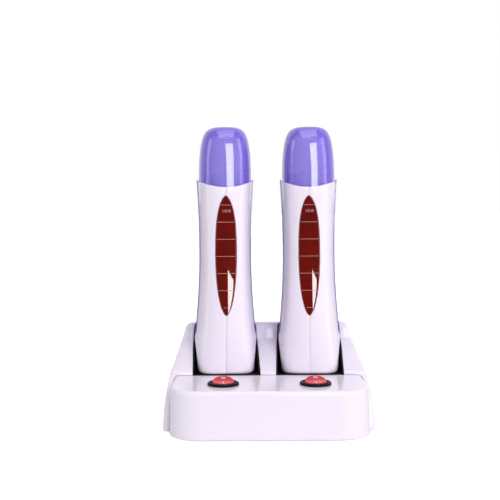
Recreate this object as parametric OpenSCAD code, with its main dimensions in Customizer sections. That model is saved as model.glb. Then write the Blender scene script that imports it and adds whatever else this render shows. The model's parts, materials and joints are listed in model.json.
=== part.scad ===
// Double roll-on wax warmer: two lift-off handsets docked on a mains base.
// Origin: middle of the base's footprint on the floor. Front is -Y, up is +Z, millimetres.

/* [Base] */
// Depth of the whole base, front to back
base_depth = 132; // [126:1:142]
// Height of the switch deck above the floor
deck_height = 35; // [32:0.5:40]
// Half width of the front box
box_half_w = 72.5; // [70:0.5:74]
// Radius of the front box's plan corners
box_corner = 24; // [16:1:30]
// How far the wings stand out beside the front box at the floor
wing_flare = 5.5; // [4:0.5:8]
// Half width of the rear housing at its rounded top
top_half_w = 62; // [60:0.5:66]
// Height of the rear housing's back wall
back_height = 68; // [66:0.5:72]
// Distance from the front face back to the step in the deck
step_back = 63.5; // [60:0.5:66]
// Wall thickness of the base mouldings
base_wall = 2.2; // [1.8:0.1:2.8]
// How far the rubber feet hold the mouldings off the floor
foot_lift = 1; // [0.6:0.1:2]

/* [Handset] */
// Distance between the two handsets' centre lines
handset_pitch = 66.4; // [66:0.2:71]
// Lean of the docked handsets, in degrees
lean = 5; // [3:0.5:7]
// Turn of each docked handset towards the middle, in degrees
toe_in = 2.5; // [0:0.5:4]
// Height of the handset's rim above its foot
rim_height = 151.2; // [148:0.4:154]
// Height of the shoulder, where the rear door ends
shoulder_height = 28; // [26:0.5:30]
// Half width at the foot
foot_half_w = 21.9; // [21:0.1:22.5]
// Half width at the shoulder
shoulder_half_w = 24.5; // [24:0.1:24.6]
// Half width at the waist
waist_half_w = 20.6; // [20.4:0.1:21.5]
// Half width at the rim
rim_half_w = 22.5; // [22:0.1:23.5]
// Half depth at the shoulder
shoulder_half_d = 32.6; // [32:0.1:33]
// Half depth at the waist
waist_half_d = 31; // [30.6:0.1:31.6]
// Wall thickness of the handset shells
shell_wall = 1.5; // [1.4:0.1:1.6]
// How far the door stands proud of the white shell at the sides
door_proud = 0.8; // [0.6:0.1:0.9]
// Depth behind the centre line at which the white shell meets the door
parting_y = -6; // [-7:0.5:-4]
// Dip of the rim at the front
rim_dip = 8; // [6:0.1:9]

/* [Window] */
// Height of the window's lower tip above the foot
window_low = 45; // [43:0.5:50]
// Height of the window's upper tip above the foot
window_high = 144; // [138:0.5:145]
// Half width of the window
window_half_w = 8.5; // [6:0.1:9.5]
// How far the window stands proud of the shell
window_proud = 0.7; // [0.2:0.1:1.2]

/* [Cap and door] */
// Room between the roller frame's arch and the cap's top
head_room = 9.3; // [8.8:0.1:12]
// Gap between the cap and the rim round it
cap_gap = 0.25; // [0.2:0.05:0.35]
// Wall thickness of the cap
clear_wall = 1.6; // [1.3:0.1:1.8]
// Wall thickness of the door
door_wall = 1.2; // [1.1:0.05:1.25]
// Depth that the cap's skirt reaches below the rim
cap_skirt = 10; // [9.5:0.1:11]
// Travel that takes the cap off, used by its slide
cap_travel = 62; // [58:1:80]
// Diameter of the door's hinge pin
hinge_pin_d = 2; // [1.8:0.1:2.4]
// Radial play between the door's barrel and its pin
hinge_play = 0.05; // [0.02:0.01:0.08]

/* [Cartridge] */
// Width of the wax cartridge
cartridge_w = 34; // [32:0.5:34.5]
// Depth of the wax cartridge, front to back
cartridge_d = 48; // [46:0.5:48.5]
// Height of the cartridge's tank
tank_height = 118; // [110:1:119]
// Diameter of the roller
roller_d = 21; // [18:0.5:22]
// Length of the roller
roller_len = 35; // [32:0.5:36]
// Diameter of the roller's end pins
roller_pin_d = 3; // [2.4:0.1:3.6]
// Radial play of the roller's pins
roller_play = 0.08; // [0.04:0.01:0.1]

/* [Switches] */
// Distance between the two switches' centres
switch_pitch = 67.2; // [62:0.2:72]
// Distance from the front face back to the switches' centres
switch_back = 27.5; // [25:0.5:32]
// Diameter of the round switch bezel
bezel_d = 23; // [22.6:0.1:23.6]
// Diameter of the panel hole
panel_hole_d = 20.2; // [20.1:0.05:20.4]
// Angle that the rocker is pressed to each side, in degrees
rocker_tilt = 11; // [9:0.5:12]
// Diameter of the rocker's pivot pins
rocker_pin_d = 2.4; // [2:0.1:2.6]
// Radial play of the rocker's pivot pins
rocker_play = 0.05; // [0.02:0.01:0.08]

/* [Inlet] */
// Height of the power inlet's centre above the floor
inlet_height = 19; // [16:0.5:22]
// Distance between the inlet's pins
inlet_pin_pitch = 8.6; // [8:0.1:9]

/* [Hidden] */
$fn = 48;
wing_half_w = box_half_w + wing_flare;
tiny = 0.01;
over = 0.4;
seat_gap = 0.1;
foot_set_back = 0.4;
door_rise = 1.9;
overhang = step_back + foot_half_d(0) + foot_set_back + half_d(rim_height) * cos(lean)
    + (rim_height + door_rise) * sin(lean) - base_depth;
front_y = -(base_depth + overhang) / 2;
rear_y = front_y + base_depth;
step_y = front_y + step_back;
switch_y = front_y + switch_back;
handset_y = step_y + foot_half_d(0) + foot_set_back;
foot_round = 2.4;
section_power = 2.6;
cols = 14;
cap_cols = 32;
window_steps = 14;
ring_cols = 40;
bay_side = 0.3;
wing_sweep = 35;
dock_z = deck_height + 0.6 - foot_half_d(0) * sin(lean);
bay_half_w = shoulder_half_w + bay_side;
bay_half_d = shoulder_half_d + 0.5;
liner_wall = 1;
step_rise = 3;
slope_top = 56.5;
notch_height = 53;
door_floor = shoulder_height + 1.2;
hinge_y = shoulder_half_d - 3.1;
hinge_z = door_floor + 1.9;
barrel_r = 2.9;
barrel_half = 10;
lug_in = barrel_half + 0.35;
lug_out = lug_in + 3;
cartridge_y = 2.3;
head_y = 0.4;
head_r = 12.8;
cartridge_r = 14.4;
tank_floor = shoulder_height + 4.2;
tank_top = tank_floor + tank_height;
roller_z = tank_top + 20;
cap_top = roller_z + head_r + head_room;
frame_gap = 0.35;
cradle_t = 1.5;
plug_t = 2.6;
contact_x = 8;
contact_y = 10;
contact_d = 4;
screw_d = 2.6;
screw_head_d = 5;
pilot_d = 2.2;
boss_d = 6;
screw_bite = 4;
cradle_screw_x = 10.5;
cradle_screw_z = shoulder_height + 8.5;
rocker_r = 8;
well_r = 8.95;
cap_flat = 0.34;
skirt_in = 0.8;
cap_rest = 0.15;
rocker_pivot_z = deck_height - 0.6;
bezel_t = 2.2;
plate_t = 2;
plate_z = foot_lift + 0.6;
front_post_x = box_half_w - 16.5;
front_post_y = front_y + 12;
rear_post_x = wing_half_w - 20;
mid_post_x = wing_half_w - 12;
rear_post_y = rear_y - 9;
mid_post_y = step_y + 6;
foot_pad_d = 12;
inlet_w = 21;
inlet_h = 11;
inlet_socket_w = 15.4;
inlet_socket_h = 7.4;

white = [0.92, 0.9, 0.94];
purple = [0.55, 0.45, 0.85, 0.6];
red = [0.5, 0.06, 0.08];
black = [0.06, 0.06, 0.07];
brass = [0.8, 0.65, 0.3];
aluminium = [0.78, 0.79, 0.8];

// Fraction of the way from a to b, held to 0..1 and eased at both ends.
function ease(a, b, v) = let (t = max(0, min(1, (v - a) / (b - a)))) t * t * (3 - 2 * t);

function waist_z() = (shoulder_height + rim_height) / 2 + 4;

// Half width of the handset at height z: parabolas from shoulder to waist to rim.
function half_w(z) =
    z < shoulder_height ? foot_half_w + (shoulder_half_w - foot_half_w) * z / shoulder_height
    : let (t = (z - waist_z()) / (z < waist_z() ? waist_z() - shoulder_height
                                                : rim_height - waist_z()))
      waist_half_w + ((z < waist_z() ? shoulder_half_w : rim_half_w) - waist_half_w) * t * t;

function foot_half_d(z) = shoulder_half_d - 1.6 * (1 - z / shoulder_height);

// Half depth of the handset at height z.
function half_d(z) =
    z < shoulder_height ? foot_half_d(z)
    : let (t = (z - waist_z()) / (waist_z() - shoulder_height))
      waist_half_d + (shoulder_half_d - waist_half_d) * min(1, t * t);

// Point of a superellipse with half axes a and b at angle u.
function super_point(a, b, u, n = section_power) =
    [a * sign(cos(u)) * pow(abs(cos(u)), 2 / n), b * sign(sin(u)) * pow(abs(sin(u)), 2 / n)];

function super_ring(a, b, count, n = section_power) =
    [for (i = [0:count - 1]) super_point(a, b, 360 * i / count, n)];

// Inset of the section near the foot, where the edge is rounded.
function foot_inset(z) =
    z >= foot_round ? 0 : foot_round - sqrt(max(0, foot_round * foot_round - pow(foot_round - z, 2)));

// Closed solid from rings of points, each ring joined to the next one.
module loft(rings) {
    n = len(rings[0]);
    m = len(rings);
    points = [for (r = rings) each r];
    low = [for (i = [0:n - 1]) [i, (i + 1) % n]];
    sides = [for (j = [0:m - 2]) for (e = low)
        each [[j * n + e[0], (j + 1) * n + e[0], (j + 1) * n + e[1]],
              [j * n + e[0], (j + 1) * n + e[1], j * n + e[1]]]];
    first = [for (i = [0:n - 1]) i];
    last = [for (i = [n - 1:-1:0]) (m - 1) * n + i];
    polyhedron(points, concat(sides, [first], [last]), convexity = 6);
}

// Curved sheet with thickness, between two grids of points with equal rows and columns.
module sheet(outer, inner) {
    rows = len(outer);
    n = len(outer[0]);
    half = rows * n;
    points = concat([for (r = outer) each r], [for (r = inner) each r]);
    function at(j, i) = j * n + i;
    skin = [for (j = [0:rows - 2]) for (i = [0:n - 2])
        each [[at(j, i), at(j + 1, i), at(j + 1, i + 1)],
              [at(j, i), at(j + 1, i + 1), at(j, i + 1)],
              [half + at(j, i), half + at(j + 1, i + 1), half + at(j + 1, i)],
              [half + at(j, i), half + at(j, i + 1), half + at(j + 1, i + 1)]]];
    ends = [for (i = [0:n - 2])
        each [[at(0, i), at(0, i + 1), half + at(0, i + 1)],
              [at(0, i), half + at(0, i + 1), half + at(0, i)],
              [at(rows - 1, i), half + at(rows - 1, i + 1), at(rows - 1, i + 1)],
              [at(rows - 1, i), half + at(rows - 1, i), half + at(rows - 1, i + 1)]]];
    edges = [for (j = [0:rows - 2])
        each [[at(j, 0), half + at(j, 0), half + at(j + 1, 0)],
              [at(j, 0), half + at(j + 1, 0), at(j + 1, 0)],
              [at(j, n - 1), half + at(j + 1, n - 1), half + at(j, n - 1)],
              [at(j, n - 1), at(j + 1, n - 1), half + at(j + 1, n - 1)]]];
    polyhedron(points, concat(skin, ends, edges), convexity = 6);
}

// Heights of the rows that make up the handset's skin.
function body_rows() = concat([0, 0.5, 1.3, foot_round],
    [for (t = [0.3, 0.65, 1]) foot_round + (shoulder_height - foot_round) * t],
    [for (t = [0.05, 0.15, 0.3, 0.45, 0.6, 0.75, 0.86, 0.94, 1])
        shoulder_height + (rim_height - shoulder_height) * t]);

// How much of the rim's dip a row takes: all at the rim, none below the window's middle.
function dip(z, y) = rim_dip * ease(0.72 * rim_height, rim_height, z)
    * ease(4, -0.9 * half_d(z), y);

// One row of the handset's skin on the +X side, from the front round to the rear.
function body_row(z, grow_w, grow_d, last) =
    [for (i = [0:last])
        let (p = super_point(half_w(z) + grow_w - foot_inset(z), half_d(z) + grow_d - foot_inset(z),
                             -90 + 180 * i / cols))
        [i == 0 || i == cols ? 0 : p[0], p[1], z - dip(z, p[1])]];

// Sheet on the +X side of the handset, from the front as far as column last, with its
// outside grown by the given amounts.
module body_sheet(grow_w, grow_d, t, rows, last = cols) {
    sheet([for (z = rows) body_row(z, grow_w * ease(shoulder_height - 2, shoulder_height + 4, z),
                                   grow_d, last)],
          [for (z = rows) body_row(z, grow_w * ease(shoulder_height - 2, shoulder_height + 4, z) - t,
                                   grow_d - t, last)]);
}

// Side view outline, extruded across the handset.
module across(half, points) {
    rotate([90, 0, 90]) translate([0, 0, -half]) linear_extrude(2 * half) polygon(points);
}

// Everything behind the parting line and above the shoulder, with an edge set back by gap.
module rear_zone(gap) {
    across(60, [[parting_y + gap, shoulder_height + 0.6 + gap], [80, shoulder_height + 0.6 + gap],
                [80, 240], [parting_y + gap, 240]]);
}

// Pointed oval of the window, looking at the front.
function window_points(grow) =
    let (half = (window_high - window_low) / 2 + grow, mid = (window_high + window_low) / 2)
    concat([for (i = [0:window_steps]) let (t = -cos(180 * i / window_steps))
               [(window_half_w + grow) * pow(1 - pow(abs(t), 2.2), 0.55), mid + half * t]],
           [for (i = [window_steps - 1:-1:1]) let (t = -cos(180 * i / window_steps))
               [-(window_half_w + grow) * pow(1 - pow(abs(t), 2.2), 0.55), mid + half * t]]);

module window_prism(grow) {
    rotate([90, 0, 0]) linear_extrude(60) polygon(window_points(grow));
}

// Places a handset piece on its dock. side is -1 for the left handset and 1 for the right.
module docked(side) {
    translate([side * handset_pitch / 2, handset_y, dock_z])
        rotate([-lean, 0, 0]) rotate([0, 0, -side * toe_in]) children();
}

module x_cylinder(r, x0, x1) {
    translate([x0, 0, 0]) rotate([0, 90, 0]) cylinder(r = r, h = x1 - x0);
}

module y_cylinder(r, y0, y1) {
    translate([0, y1, 0]) rotate([90, 0, 0]) cylinder(r = r, h = y1 - y0);
}

module rounded_rect(w, d, r) {
    union() {
        square([w - 2 * r, d], center = true);
        square([w, d - 2 * r], center = true);
        for (x = [-1, 1], y = [-1, 1]) translate([x * (w / 2 - r), y * (d / 2 - r)]) circle(r = r);
    }
}

// Lug on the shell that carries one end of the door's hinge pin, on the +X side.
module hinge_lug() {
    translate([0, hinge_y, hinge_z]) x_cylinder(barrel_r, lug_in, lug_out);
    translate([lug_in, hinge_y - barrel_r, shoulder_height - 9])
        cube([lug_out - lug_in, 2 * barrel_r - 0.4, hinge_z - shoulder_height + 9]);
}

// Half of the white shell on the +X side.
module half_shell() {
    difference() {
        union() {
            difference() {
                body_sheet(-door_proud, 0, shell_wall, body_rows());
                rear_zone(0);
                window_prism(0.1);
                cap_room();
                translate([0, hinge_y, hinge_z]) x_cylinder(barrel_r + 1.7, -lug_in, 20);
            }
            intersection() {
                hinge_lug();
                translate([0, 0, -1]) linear_extrude(60)
                    polygon(super_ring(shoulder_half_w - 0.6, shoulder_half_d - 0.4, ring_cols));
            }
            half_shell_bosses();
        }
        translate([0, hinge_y, hinge_z]) x_cylinder(hinge_pin_d / 2, lug_in - 1, lug_out - 1.2);
        for (z = [plug_t - 1]) translate([contact_x + 4.5, -14, z]) cylinder(d = pilot_d, h = 12);
        translate([cradle_screw_x, 0, cradle_screw_z])
            y_cylinder(pilot_d / 2, cradle_front() - screw_bite - 0.3, 0);
        // a rebate in the centre seam keeps the halves' edges 0.1 apart
        translate([-1, -50, -1]) cube([1 + seat_gap / 2, 100, 200]);
    }
}

// Screw bosses inside a half shell: one for the foot plug and one for the heater cradle.
module half_shell_bosses() {
    inside = [half_w(10) - shell_wall / 2, half_d(10) - shell_wall / 2];
    intersection() {
        translate([contact_x + 4.5, -14, plug_t + 0.2]) union() {
            cylinder(d = boss_d, h = 13);
            translate([-0.8, -20, 0]) cube([1.6, 20, 11]);
        }
        linear_extrude(60) polygon(super_ring(inside[0], inside[1], ring_cols));
    }
    intersection() {
        translate([cradle_screw_x, 0, cradle_screw_z])
            y_cylinder(boss_d / 2, -40, cradle_front() - 0.05);
        translate([0, 0, 20]) linear_extrude(60)
            polygon(super_ring(half_w(cradle_screw_z) - door_proud - shell_wall / 2,
                               half_d(cradle_screw_z) - shell_wall / 2, ring_cols));
    }
}

// Front face of the heater cradle's web.
function cradle_front() = cartridge_y - cartridge_d / 2 - frame_gap - cradle_t;

// Outer or inner half of the shell. The outer half is the one away from the other handset.
module shell_half_of(side, outer) {
    dir = outer ? side : -side;
    color(white) docked(side)
        if (dir > 0) half_shell();
        else mirror([1, 0, 0]) half_shell();
}

// Red level window, pressed into both half shells from inside by its flange.
module window(side) {
    rows = [for (t = [0:1/6:1]) window_low - 4 + (window_high - window_low + 8) * t];
    flange_back = shell_wall + seat_gap;
    color(red) docked(side) union() {
        intersection() {
            both_sides() body_sheet(-door_proud, window_proud, window_proud + flange_back + 0.5, rows, 4);
            window_prism(0);
        }
        intersection() {
            both_sides() body_sheet(-door_proud - flange_back, -flange_back, 1, rows, 4);
            window_prism(1.4);
        }
    }
}

module both_sides() {
    children();
    mirror([1, 0, 0]) children();
}

function cap_half_w() = rim_half_w - door_proud - 0.6 - cap_gap;
function cap_half_d() = waist_half_d + 0.35 - 1.1 - cap_gap;

// Room for the cap's skirt, cut from whatever stands round it.
module cap_room() {
    translate([0, 0, rim_height - cap_skirt]) linear_extrude(40)
        polygon(super_ring(cap_half_w() - skirt_in + cap_gap, cap_half_d() - skirt_in + cap_gap,
                           ring_cols));
}

// Half axes of the cap's section at a height t from 0 at the rim to 1 at the top.
function cap_size(t) =
    let (k = max(cap_flat, pow(max(0, 1 - pow(t, 2.6)), 0.1745)))
    [cap_half_w() * k, cap_half_d() * k];

// How far the cap follows the rim's dip: all the way at its seat, and not at all in its upper half.
function cap_dip(t, y) = dip(rim_height, y) * (1 - ease(0, 0.55, t));

// Translucent cap over the roller.
module cap(side) {
    low = rim_height - cap_skirt + 0.3;
    seat = rim_height + cap_rest;
    rise = cap_top - seat;
    steps = [0, 0.3, 0.52, 0.7, 0.83, 0.91, 0.96, 0.99, 1];
    outer = [for (t = steps) let (s = cap_size(t))
        [for (p = super_ring(s[0], s[1], cap_cols)) [p[0], p[1], seat + rise * t - cap_dip(t, p[1])]]];
    inner = [for (t = steps) let (s = cap_size(t))
        [for (p = super_ring(s[0] - clear_wall, s[1] - clear_wall, cap_cols))
            [p[0], p[1], seat + (rise - clear_wall) * t - cap_dip(t, p[1])]]];
    skirt = [for (g = [[clear_wall, low, 1], [skirt_in, low, 1], [skirt_in, seat, 0]])
        [for (p = super_ring(cap_half_w() - g[0], cap_half_d() - g[0], cap_cols))
            [p[0], p[1], g[1] - cap_dip(g[2], p[1])]]];
    color(purple) docked(side)
        loft(concat([for (i = [len(steps) - 1:-1:0]) inner[i]], skirt, outer));
}

// Translucent rear door with its hinge barrel.
module door(side) {
    rows = [for (t = [0, 0.06, 0.15, 0.3, 0.45, 0.6, 0.75, 0.86, 0.94, 1])
        shoulder_height + 0.4 + (rim_height + door_rise - shoulder_height - 0.4) * t];
    color(purple) docked(side) difference() {
        union() {
            intersection() {
                both_sides() body_sheet(0, 0, door_wall, rows);
                rear_zone(0.3);
            }
            translate([0, hinge_y, hinge_z]) x_cylinder(barrel_r, -barrel_half, barrel_half);
        }
        cap_room();
        translate([0, hinge_y, hinge_z])
            x_cylinder(hinge_pin_d / 2 + hinge_play, -barrel_half - 1, barrel_half + 1);
        for (m = [0, 1]) mirror([m, 0, 0]) translate([0, hinge_y, hinge_z])
            x_cylinder(barrel_r + 0.5, barrel_half, lug_out + 0.4);
        // the wall behind the pin stays within the barrel, so that it turns clear of the shell
        translate([-30, hinge_y + 1, 0]) cube([60, 20, hinge_z - 1.6]);
    }
}

module hinge_pin(side) {
    color("silver") docked(side) translate([0, hinge_y, hinge_z])
        x_cylinder(hinge_pin_d / 2, -lug_out + 1.2, lug_out - 1.2);
}

module tank_outline(grow) {
    rounded_rect(cartridge_w + 2 * grow, cartridge_d + 2 * grow, cartridge_r + grow);
}

module cartridge(side) {
    color([0.9, 0.88, 0.84]) docked(side) translate([0, cartridge_y, tank_floor]) difference() {
        union() {
            linear_extrude(tank_height) tank_outline(0);
            translate([0, 0, tank_height - tiny]) linear_extrude(4 + tiny) tank_outline(-2.4);
        }
        translate([0, 0, 1.6]) linear_extrude(tank_height - 3.2) tank_outline(-1.5);
        translate([0, 0, tank_height - 3]) cube([4, 30, 20], center = true);
    }
}

module wax(side) {
    color([0.72, 0.5, 0.2]) docked(side) translate([0, cartridge_y, tank_floor + 1.7])
        linear_extrude(tank_height * 0.86) tank_outline(-1.6);
}

// Frame that holds the roller on top of the tank, with an arched plate at each end.
module roller_frame(side) {
    half = roller_len / 2;
    plate_y = half + 2;
    color([0.95, 0.95, 0.93]) docked(side) difference() {
        union() {
            translate([0, cartridge_y, tank_top + 0.05]) linear_extrude(5.4) tank_outline(-0.4);
            for (y = [-1, 1]) translate([0, head_y + y * plate_y, 0]) {
                translate([0, 0, roller_z]) y_cylinder(head_r, -1.5, 1.5);
                translate([-head_r, -1.5, tank_top + 4]) cube([2 * head_r, 3, roller_z - tank_top - 4]);
            }
        }
        translate([0, cartridge_y, tank_top - 1]) linear_extrude(5.1) tank_outline(-2.3);
        translate([0, head_y, roller_z]) y_cylinder(roller_d / 2 + 0.7, -half - 0.3, half + 0.3);
        translate([0, head_y, roller_z])
            y_cylinder(roller_pin_d / 2 + roller_play, -half - 5, half + 5);
        translate([0, cartridge_y, tank_top]) cube([5, 30, 20], center = true);
    }
}

module roller(side) {
    half = roller_len / 2;
    color([0.97, 0.97, 0.95]) docked(side) translate([0, head_y, roller_z]) union() {
        y_cylinder(roller_d / 2, -half, half);
        y_cylinder(roller_pin_d / 2, -half - 3.2, half + 3.2);
    }
}

// Aluminium cradle: a curved web in front of the tank and a floor under it.
module cradle(side) {
    low = tank_floor - 0.3 - cradle_t;
    color(aluminium) docked(side) translate([0, cartridge_y, 0]) difference() {
        union() {
            translate([0, 0, low]) linear_extrude(tank_height - 10) intersection() {
                difference() {
                    tank_outline(frame_gap + cradle_t);
                    tank_outline(frame_gap);
                }
                translate([-15, -cartridge_d / 2 - 5]) square([30, 15]);
            }
            translate([0, 0, low]) linear_extrude(cradle_t) tank_outline(-1.5);
            translate([0, 0, low]) linear_extrude(cradle_t) intersection() {
                tank_outline(frame_gap + cradle_t);
                translate([-15, -cartridge_d / 2 - 5]) square([30, 15]);
            }
            for (x = [-1, 1]) translate([x * cradle_screw_x - 3.5,
                -cartridge_d / 2 - frame_gap - cradle_t, cradle_screw_z - 3.5]) cube([7, cradle_t, 7]);
        }
        translate([-4.5, -cartridge_d / 2 - 5, window_low + 5])
            cube([9, 12, window_high - window_low - 22]);
        for (x = [-1, 1]) translate([x * cradle_screw_x, cradle_front() - cartridge_y, cradle_screw_z]) {
            y_cylinder(screw_d / 2 + 0.1, -1, 6);
            y_cylinder(screw_head_d / 2, cradle_t, 8);
        }
    }
}

// Flat heater on the cradle's web, below the window.
module heater(side) {
    color([0.85, 0.8, 0.7]) docked(side)
        translate([-6.5, cradle_front() - 2.7, shoulder_height + 4]) cube([13, 2.6, 12]);
}

// Disc thermostat under the cradle's floor.
module thermostat(side) {
    top = tank_floor - 0.3 - cradle_t - 0.1;
    color([0.3, 0.3, 0.32]) docked(side) translate([0, cartridge_y, 0]) union() {
        translate([0, 0, top - 2.4]) cylinder(d = 15.6, h = 2.4);
        translate([0, 0, top - 9]) cylinder(d = 13.5, h = 6.7);
        for (y = [-1, 1]) translate([-3.1, y * 4.2 - 0.4, top - 15]) cube([6.2, 0.8, 6.1]);
    }
}

// Plug that closes the foot and carries the two contact pads.
module foot_plug(side) {
    grow = foot_inset(0.9) + shell_wall + 0.12;
    color(black) docked(side) difference() {
        translate([0, 0, 0.2]) linear_extrude(plug_t)
            polygon(super_ring(half_w(0) - grow - 1.4, half_d(0) - grow - 1.4, ring_cols));
        for (x = [-1, 1]) {
            translate([x * contact_x, contact_y, -1]) cylinder(d = contact_d + 1, h = 2.2);
            translate([x * contact_x, contact_y, 0]) cylinder(d = contact_d + 0.2, h = 6);
            translate([x * (contact_x + 4.5), -14, -1]) cylinder(d = screw_d + 0.3, h = 9);
            translate([x * (contact_x + 4.5), -14, -1]) cylinder(d = screw_head_d + 0.3, h = 2.6);
        }
    }
}

module contact_pads(side) {
    color(brass) docked(side) for (x = [-1, 1]) translate([x * contact_x, contact_y, 0]) union() {
        translate([0, 0, 1.4]) cylinder(d = contact_d, h = 4.6);
        translate([0, 0, plug_t + 0.3]) cylinder(d = contact_d + 2, h = 0.8);
        translate([-0.4, -1.6, 5]) cube([0.8, 3.2, 6]);
    }
}

// Screws of one handset: two hold the foot plug, two hold the heater cradle.
module handset_screws(side) {
    color("silver") docked(side) for (x = [-1, 1]) {
        translate([x * (contact_x + 4.5), -14, 0]) union() {
            translate([0, 0, 0.2]) cylinder(d = screw_head_d, h = 1.35);
            translate([0, 0, 1]) cylinder(d = pilot_d, h = 11);
        }
        translate([x * cradle_screw_x, cradle_front(), cradle_screw_z]) union() {
            y_cylinder(pilot_d / 2, -screw_bite, cradle_t + 0.5);
            y_cylinder(screw_head_d / 2 - 0.4, cradle_t + 0.05, cradle_t + 1.3);
        }
    }
}

// Plan of the front box at height z, shrunk by inset at the front and sides and by back behind.
function box_ring(inset, z, back) =
    let (r = box_corner - inset, x = box_half_w - inset, y0 = front_y + inset, y1 = step_y - back)
    concat(
        [for (i = [0:8]) [x - r + r * sin(90 * i / 8), y0 + r - r * cos(90 * i / 8), z]],
        [[x, y1, z], [-x, y1, z]],
        [for (i = [8:-1:0]) [-x + r - r * sin(90 * i / 8), y0 + r - r * cos(90 * i / 8), z]]);

// Profile of the box from its foot to the deck: a little draft and a rounded top edge.
function box_profile(grow) = concat(
    [[foot_lift, 0 - grow], [deck_height * 0.5, 0.5 - grow]],
    [for (a = [0:22.5:90]) [deck_height + grow - 3.2 + 3.2 * sin(a), 0.9 - grow + 3.2 * (1 - cos(a))]]);

module box_solid(grow) {
    loft([for (p = box_profile(grow)) box_ring(p[1], p[0], -grow)]);
}

// Front box with the switch deck, open below.
module deck_housing() {
    color(white) difference() {
        union() {
            difference() {
                box_solid(0);
                loft([for (p = box_profile(-base_wall))
                    box_ring(p[1], p[0] < deck_height / 2 ? p[0] - over : p[0], base_wall)]);
            }
            for (x = [-1, 1]) post(x * front_post_x, front_post_y, deck_height - base_wall + 0.2);
        }
        for (x = [-1, 1]) {
            translate([x * switch_pitch / 2, switch_y, deck_height - 10])
                cylinder(d = panel_hole_d, h = 20);
            pilot(x * front_post_x, front_post_y);
        }
        // the rear wall stands clear of the bottom plate and lets the wires through
        translate([-62, step_y - base_wall - 2, foot_lift - 1])
            cube([124, base_wall + 4, plate_z + plate_t + 0.4]);
        translate([-20, step_y - base_wall - 2, foot_lift]) cube([40, base_wall + 4, 14]);
    }
}

// Screw post from the bottom plate up to height top.
module post(x, y, top) {
    translate([x, y, plate_z + plate_t + 0.1]) cylinder(d = boss_d + 1, h = top - plate_z - plate_t - 0.1);
}

module pilot(x, y) {
    translate([x, y, plate_z]) cylinder(d = pilot_d, h = 16);
}

// Half width of the rear housing's silhouette at height z.
function saddle_half_w(z) =
    let (s = step_rise + deck_height)
    z < s ? wing_half_w - 3.4 * pow(z / s, 2)
    : wing_half_w - 3.4 - (wing_half_w - 3.4 - top_half_w - 3) * pow((z - s) / (back_height - s), 0.9);

// Height of the sloping saddle at distance y from the middle.
function saddle_top(y) = let (s = deck_height + step_rise)
    s + (slope_top - s) * (y - step_y - 2) / 44;

// Front edge of the rear housing at height z: wings sweep back, then the saddle slopes.
function saddle_front(z) =
    let (s = deck_height + step_rise)
    z <= deck_height ? step_y - wing_sweep * sqrt(1 - pow(z / deck_height, 1.6))
    : z < s ? step_y + 2 * pow((z - deck_height) / step_rise, 3)
    : z < slope_top ? step_y + 2 + 44 * (z - s) / (slope_top - s)
    : step_y + 46 + 5 * (z - slope_top) / (back_height - slope_top);

// Ring of the rear housing at height z, shrunk by inset.
function saddle_ring(z, inset) =
    let (x = saddle_half_w(z) - inset, y0 = saddle_front(z) + inset,
         y1 = rear_y - inset - 3 * pow(z / back_height, 2),
         r0 = max(0.6, min(3.5, (y1 - y0) / 2 - 0.2)), r1 = max(0.8, min(12, (y1 - y0) / 2 - 0.1)))
    concat(
        [for (a = [0:30:90]) [x - r0 + r0 * sin(a), y0 + r0 - r0 * cos(a), z]],
        [for (a = [0:18:90]) [x - r1 + r1 * cos(a), y1 - r1 + r1 * sin(a), z]],
        [for (a = [90:-18:0]) [-x + r1 - r1 * cos(a), y1 - r1 + r1 * sin(a), z]],
        [for (a = [90:-30:0]) [-x + r0 - r0 * sin(a), y0 + r0 - r0 * cos(a), z]]);

function saddle_rows() = concat([for (t = [0:0.2:1]) foot_lift + (deck_height - foot_lift) * t],
    [for (t = [0.4, 0.8, 1]) deck_height + step_rise * t],
    [for (t = [0.25:0.25:1]) deck_height + step_rise + (slope_top - deck_height - step_rise) * t],
    [slope_top + (back_height - slope_top) * 0.5, back_height - 3.4]);

// Height of the hollow's row that lies under the outer row at height z.
function saddle_inside(z) = z <= foot_lift ? foot_lift - over : z * (1 - 0.8 * base_wall / slope_top);

// Rounded top of the back wall, as further rings.
function saddle_crown(inset) = [for (a = [20:17.5:90])
    let (z = back_height - 3.4 + (3.4 - inset) * sin(a)) [z, inset + 3.4 * (1 - cos(a))]];

module saddle_solid() {
    loft(concat([for (z = saddle_rows()) saddle_ring(z, 0)],
                [for (c = saddle_crown(0)) saddle_ring(c[0], c[1])]));
}

// Plan of a bay: round at the rear, with straight sides that open forwards through the step.
function bay_plan(grow) =
    concat([for (i = [0:ring_cols / 2])
               super_point(bay_half_w + grow, bay_half_d + grow, 360 * i / ring_cols, 3)],
           [[-bay_half_w - grow, -2 * bay_half_d], [bay_half_w + grow, -2 * bay_half_d]]);

// Rear housing: saddle with two bays and a back wall, and wings down both sides.
module saddle_housing() {
    color(white) difference() {
        union() {
            difference() {
                saddle_solid();
                loft([for (z = saddle_rows()) if (z < back_height - 4)
                    [for (p = saddle_ring(z, base_wall)) [p[0], p[1], saddle_inside(z)]]]);
                box_solid(0.2);
            }
            for (x = [-1, 1]) {
                post(x * rear_post_x, rear_post_y, back_height - 4.5);
                post(x * mid_post_x, mid_post_y, saddle_top(mid_post_y) - base_wall / 2);
            }
        }
        for (x = [-1, 1]) {
            docked(x) translate([0, 0, -2.5]) linear_extrude(80)
                polygon(bay_plan(liner_wall + seat_gap));
            translate([x * handset_pitch / 2 - 21, handset_y + 20, notch_height + 1.2])
                cube([42, 40, 40]);
            pilot(x * rear_post_x, rear_post_y);
            pilot(x * mid_post_x, mid_post_y);
        }
        translate([0, 0, inlet_height]) rotate([-90, 0, 0]) linear_extrude(100)
            rounded_rect(inlet_w + 0.3, inlet_h + 0.3, 2);
    }
}

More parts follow.
